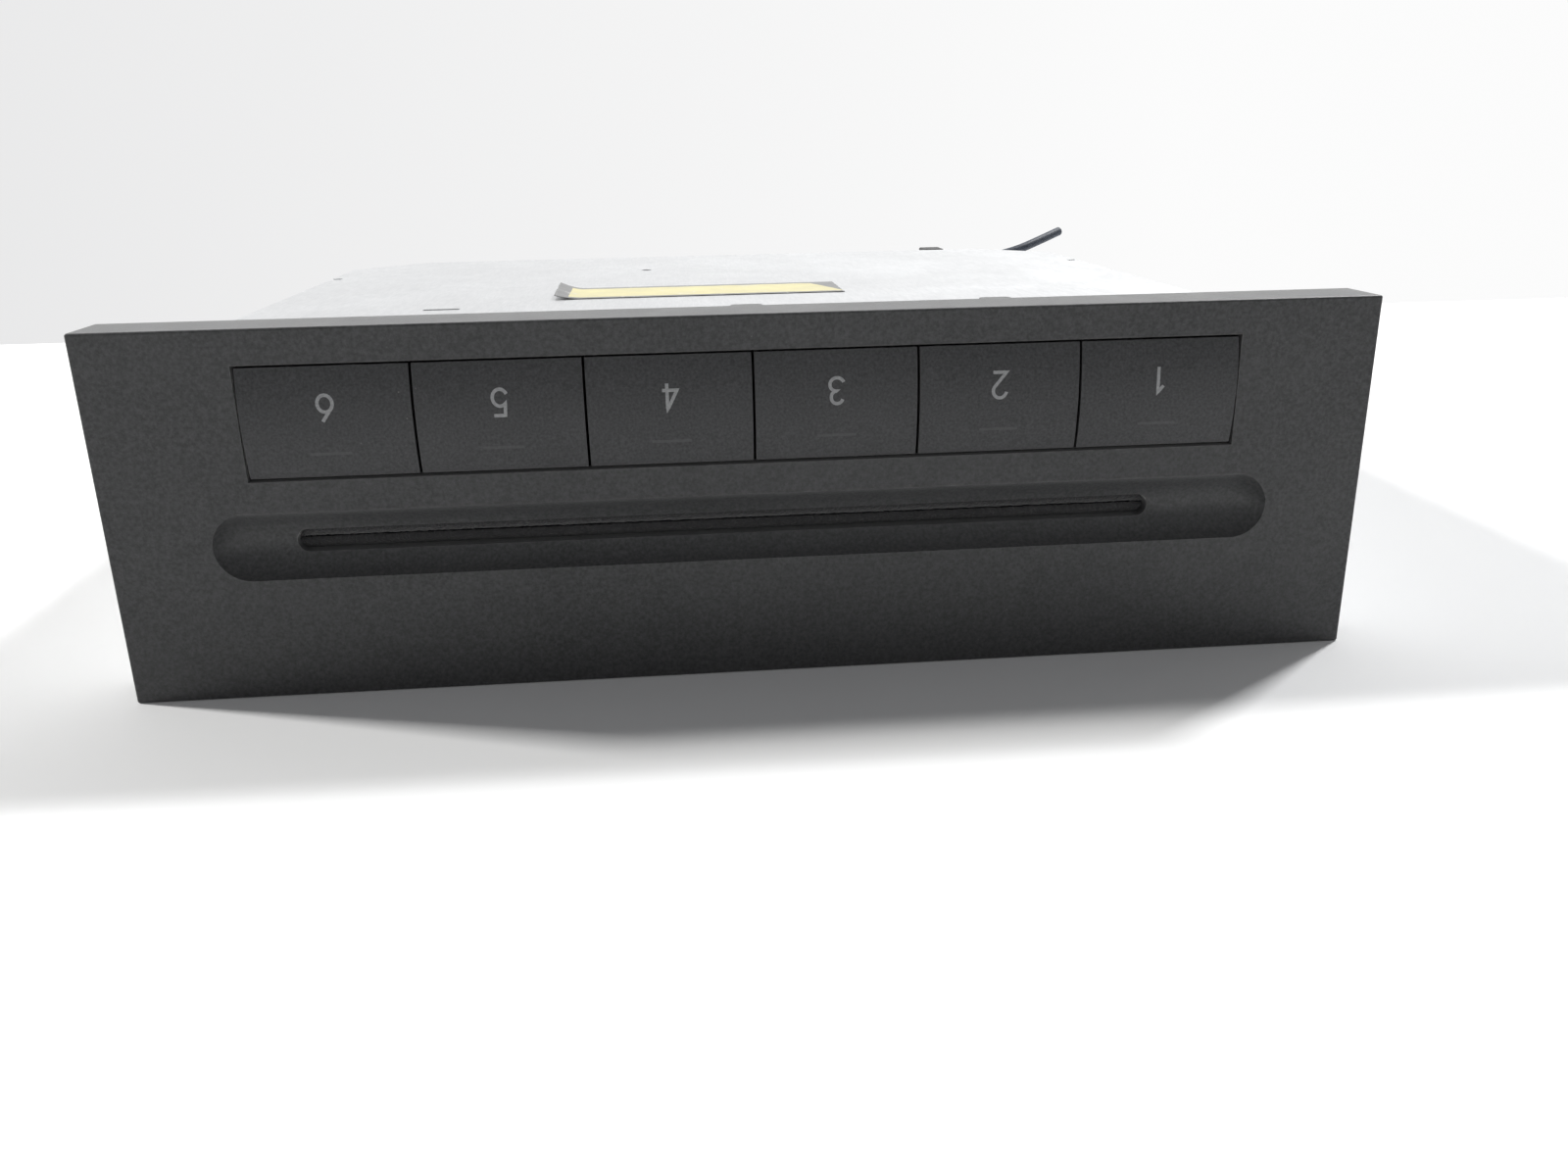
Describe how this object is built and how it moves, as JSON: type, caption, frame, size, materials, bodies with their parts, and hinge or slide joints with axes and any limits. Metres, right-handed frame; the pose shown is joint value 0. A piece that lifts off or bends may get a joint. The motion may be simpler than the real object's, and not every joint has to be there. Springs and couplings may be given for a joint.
{
  "type": "car cd changer",
  "caption": "In-dash slot-loading multi-disc changer: dark fascia with a row of numbered buttons and a disc slot on a sheet steel housing, lying on its top",
  "frame": {"origin": "under the middle of the unit, on the plane it lies on; the lead and its plug are left out of this", "axes": "The unit lies on its top cover, as pictured: -Z is up once installed. -Y faces out of the fascia, +Y is the back, +X is to the right as seen in front of it as it lies."},
  "size_m": [0.1965, 0.1943, 0.0545],
  "materials": {
    "bezel_plastic": "fine spark-eroded texture, dark grey",
    "button_plastic": "satin dark grey",
    "inner_plastic": "black moulding",
    "tray_plastic": "dark grey moulding",
    "gear_plastic": "natural white acetal",
    "felt": "black pile felt",
    "galvanised_sheet": "zinc-plated sheet",
    "plated_steel": "bright zinc plating",
    "screw_steel": "zinc-plated",
    "ground_steel": "ground",
    "motor_steel": "rolled can",
    "board": "green solder mask",
    "chips": "black epoxy",
    "contact_metal": "tin and gold plated",
    "ribbon": "white polyester",
    "label": "blank printed film",
    "rubber": "matt black",
    "turntable_metal": "turned",
    "lens_glass": "coated",
    "cable_jacket": "blue-black"
  },
  "bodies": {
    "housing": {"front_bezel": "bezel_plastic", "button_frame": "inner_plastic", "front_pcb": "board", "button_switches": "chips", "slot_felt": "felt", "front_plate": "galvanised_sheet", "chassis": "galvanised_sheet", "bottom_cover": "galvanised_sheet", "top_cover": "galvanised_sheet", "case_screws": "screw_steel", "side_nuts": "plated_steel", "blank_label": "label", "rear_sockets": "inner_plastic", "socket_pins": "contact_metal", "main_pcb": "board", "main_pcb_chips": "chips", "front_ribbon": "ribbon", "roller_brackets": "plated_steel", "loading_motor": "motor_steel", "motor_brackets": "plated_steel", "stack_motor": "motor_steel", "lift_belt": "rubber", "upper_deck": "galvanised_sheet", "swing_post": "ground_steel", "lead_plug": "inner_plastic", "lead": "cable_jacket"},
    "key_1": {"button_1": "button_plastic"},
    "key_2": {"button_2": "button_plastic"},
    "key_3": {"button_3": "button_plastic"},
    "key_4": {"button_4": "button_plastic"},
    "key_5": {"button_5": "button_plastic"},
    "key_6": {"button_6": "button_plastic"},
    "shutter": {"slot_shutter": "inner_plastic"},
    "roller": {"roller_shaft": "ground_steel", "loading_roller": "rubber"},
    "idler": {"idler_gear": "gear_plastic"},
    "worm": {"loading_worm": "ground_steel"},
    "guide": {"upper_guide": "inner_plastic"},
    "lower_trays": {"tray_4": "tray_plastic", "tray_5": "tray_plastic", "tray_6": "tray_plastic"},
    "upper_trays": {"tray_1": "tray_plastic", "tray_2": "tray_plastic"},
    "play_tray": {"tray_3": "tray_plastic"},
    "screw_a": {"lift_screw_a": "gear_plastic"},
    "screw_b": {"lift_screw_b": "gear_plastic"},
    "screw_c": {"lift_screw_c": "gear_plastic"},
    "stack_pulley": {"motor_pulley": "gear_plastic"},
    "swing": {"swing_arm": "plated_steel", "traverse_dampers": "rubber", "traverse_base": "plated_steel", "spindle_motor": "motor_steel", "guide_rods": "ground_steel", "sled_motor": "motor_steel"},
    "platter": {"turntable": "turntable_metal"},
    "sled": {"pickup_sled": "inner_plastic", "objective_lens": "lens_glass"},
    "sled_screw": {"sled_lead_screw": "ground_steel"},
    "clamp": {"clamp_arm": "plated_steel"},
    "puck": {"clamp_puck": "gear_plastic"}
  },
  "joints": [
    {"name": "button_1_press", "type": "slide", "parent": "housing", "child": "key_1", "axis": [0, 1, 0], "range_m": [0, 0.0008], "stiffness_N_per_m": 300, "springref_m": -0.0005},
    {"name": "button_2_press", "type": "slide", "parent": "housing", "child": "key_2", "axis": [0, 1, 0], "range_m": [0, 0.0008], "stiffness_N_per_m": 300, "springref_m": -0.0005},
    {"name": "button_3_press", "type": "slide", "parent": "housing", "child": "key_3", "axis": [0, 1, 0], "range_m": [0, 0.0008], "stiffness_N_per_m": 300, "springref_m": -0.0005},
    {"name": "button_4_press", "type": "slide", "parent": "housing", "child": "key_4", "axis": [0, 1, 0], "range_m": [0, 0.0008], "stiffness_N_per_m": 300, "springref_m": -0.0005},
    {"name": "button_5_press", "type": "slide", "parent": "housing", "child": "key_5", "axis": [0, 1, 0], "range_m": [0, 0.0008], "stiffness_N_per_m": 300, "springref_m": -0.0005},
    {"name": "button_6_press", "type": "slide", "parent": "housing", "child": "key_6", "axis": [0, 1, 0], "range_m": [0, 0.0008], "stiffness_N_per_m": 300, "springref_m": -0.0005},
    {"name": "shutter_swing", "type": "hinge", "parent": "housing", "child": "shutter", "pos_m": [-0.0033, -0.0747, 0.0189], "axis": [-1, 0, 0], "range_deg": [0, 65], "stiffness_Nm_per_rad": 0.001, "springref_deg": -17.19},
    {"name": "roller_spin", "type": "hinge", "parent": "housing", "child": "roller", "pos_m": [-0.0033, -0.0633, 0.02815], "axis": [-1, 0, 0], "continuous": true},
    {"name": "idler_spin", "type": "hinge", "parent": "housing", "child": "idler", "pos_m": [-0.0735, -0.04955, 0.02695], "axis": [-1, 0, 0], "continuous": true},
    {"name": "worm_spin", "type": "hinge", "parent": "housing", "child": "worm", "pos_m": [-0.0735, -0.0483, 0.03895], "axis": [0, 1, 0], "continuous": true},
    {"name": "guide_lift", "type": "hinge", "parent": "housing", "child": "guide", "pos_m": [-0.0033, -0.0658, 0.0179], "axis": [-1, 0, 0], "range_deg": [0, 6], "stiffness_Nm_per_rad": 0.01, "springref_deg": -5.73},
    {"name": "stack_close", "type": "slide", "parent": "housing", "child": "lower_trays", "axis": [0, 0, -1], "range_m": [0, 0.0117]},
    {"name": "stack_spread", "type": "slide", "parent": "housing", "child": "upper_trays", "axis": [0, 0, -1], "range_m": [-0.00585, 0]},
    {"name": "play_tray_drop", "type": "slide", "parent": "housing", "child": "play_tray", "axis": [0, 0, -1], "range_m": [-0.0022, 0]},
    {"name": "screw_a_spin", "type": "hinge", "parent": "housing", "child": "screw_a", "pos_m": [-0.0745, 0.0117, 0.0345], "axis": [0, 0, -1], "range_deg": [-702, 0]},
    {"name": "screw_b_spin", "type": "hinge", "parent": "housing", "child": "screw_b", "pos_m": [0.014, 0.0747, 0.0345], "axis": [0, 0, -1], "range_deg": [-702, 0]},
    {"name": "screw_c_spin", "type": "hinge", "parent": "housing", "child": "screw_c", "pos_m": [0.074, -0.0543, 0.0345], "axis": [0, 0, -1], "range_deg": [-702, 0]},
    {"name": "motor_pulley_spin", "type": "hinge", "parent": "housing", "child": "stack_pulley", "pos_m": [-0.066, 0.0597, 0.0455], "axis": [0, 0, -1], "range_deg": [-1404, 0]},
    {"name": "unit_swing", "type": "hinge", "parent": "housing", "child": "swing", "pos_m": [0.075, 0.0687, 0.0365], "axis": [0, 0, 1], "range_deg": [-51.6, 0]},
    {"name": "disc_spin", "type": "hinge", "parent": "swing", "child": "platter", "pos_m": [0.075, -0.03117, 0.0275], "axis": [0, 0, -1], "continuous": true},
    {"name": "sled_travel", "type": "slide", "parent": "swing", "child": "sled", "axis": [0, 1, 0], "range_m": [0, 0.034]},
    {"name": "sled_screw_spin", "type": "hinge", "parent": "swing", "child": "sled_screw", "pos_m": [0.0694, 0.0117, 0.0295], "axis": [0, 1, 0], "range_deg": [-4080, 0]},
    {"name": "clamp_close", "type": "hinge", "parent": "swing", "child": "clamp", "pos_m": [0.075, 0.0587, 0.0199], "axis": [1, 0, 0], "range_deg": [-1.5, 0]},
    {"name": "puck_spin", "type": "hinge", "parent": "clamp", "child": "puck", "pos_m": [0.075, -0.03117, 0.0215], "axis": [0, 0, -1], "continuous": true}
  ],
  "couplings": [
    {"joint": "idler_spin", "follows": "worm_spin", "ratio": -0.033333},
    {"joint": "roller_spin", "follows": "worm_spin", "ratio": 0.0625},
    {"joint": "stack_spread", "follows": "stack_close", "ratio": -0.5},
    {"joint": "screw_a_spin", "follows": "stack_close", "rad_per_m": -1047.2},
    {"joint": "screw_b_spin", "follows": "stack_close", "rad_per_m": -1047.2},
    {"joint": "screw_c_spin", "follows": "stack_close", "rad_per_m": -1047.2},
    {"joint": "motor_pulley_spin", "follows": "stack_close", "rad_per_m": -2094.4},
    {"joint": "sled_screw_spin", "follows": "sled_travel", "rad_per_m": -2094.4},
    {"joint": "puck_spin", "follows": "disc_spin", "ratio": 1}
  ]
}
